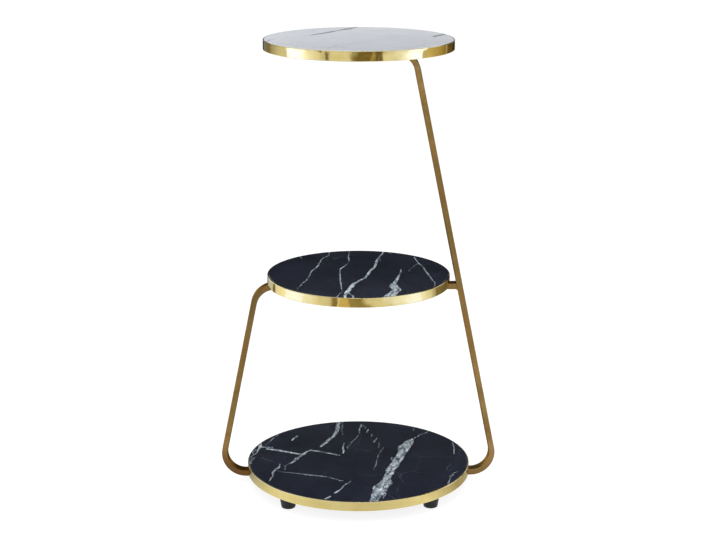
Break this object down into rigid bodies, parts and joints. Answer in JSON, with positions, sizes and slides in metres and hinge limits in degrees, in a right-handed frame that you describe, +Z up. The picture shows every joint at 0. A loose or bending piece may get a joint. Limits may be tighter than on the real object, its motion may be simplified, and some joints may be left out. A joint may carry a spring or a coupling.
{
  "type": "tiered side table",
  "caption": "Tiered round side table: stone-topped discs with polished edge bands on an upright frame of bent rectangular tube, with tapered feet.",
  "frame": {"origin": "on the floor under the common centre of the three tiers", "axes": "+Z up; the frame of tube lies in the XZ plane with the post at +X; the picture looks along +Y"},
  "size_m": [0.4678, 0.38, 0.762],
  "materials": {
    "white_marble": "polished white marble, faint grey-brown streaks",
    "black_marble": "polished navy-black marble with white veins",
    "backing_panel": "fibreboard, black stain and seal",
    "polished_gold": "polished gold-coloured plating on steel",
    "satin_gold": "satin antique-gold plating on steel tube",
    "black_rubber": "moulded black rubber",
    "zinc_steel": "zinc-plated steel",
    "insert_brass": "plain turned brass",
    "plug_plastic": "moulded black plastic"
  },
  "bodies": {
    "root": {"top_board": "white_marble", "top_backing_panel": "backing_panel", "top_band": "polished_gold", "top_mount_tabs": "satin_gold", "top_inserts": "insert_brass", "top_tab_screws": "zinc_steel", "middle_board": "black_marble", "middle_backing_panel": "backing_panel", "middle_band": "polished_gold", "middle_mount_tabs": "satin_gold", "middle_inserts": "insert_brass", "middle_tab_screws": "zinc_steel", "bottom_board": "black_marble", "bottom_backing_panel": "backing_panel", "bottom_band": "polished_gold", "bottom_mount_tabs": "satin_gold", "bottom_inserts": "insert_brass", "bottom_tab_screws": "zinc_steel", "upper_arm_tube": "satin_gold", "right_leg_tube": "satin_gold", "left_leg_tube": "satin_gold", "base_seam_weld": "satin_gold", "post_seam_weld": "satin_gold", "stub_weld": "satin_gold", "top_run_end_plug": "plug_plastic", "foot_front_left": "black_rubber", "foot_rear_left": "black_rubber", "foot_front_right": "black_rubber", "foot_rear_right": "black_rubber", "foot_washers": "zinc_steel", "foot_inserts": "insert_brass", "foot_screws": "zinc_steel"}
  },
  "joints": []
}
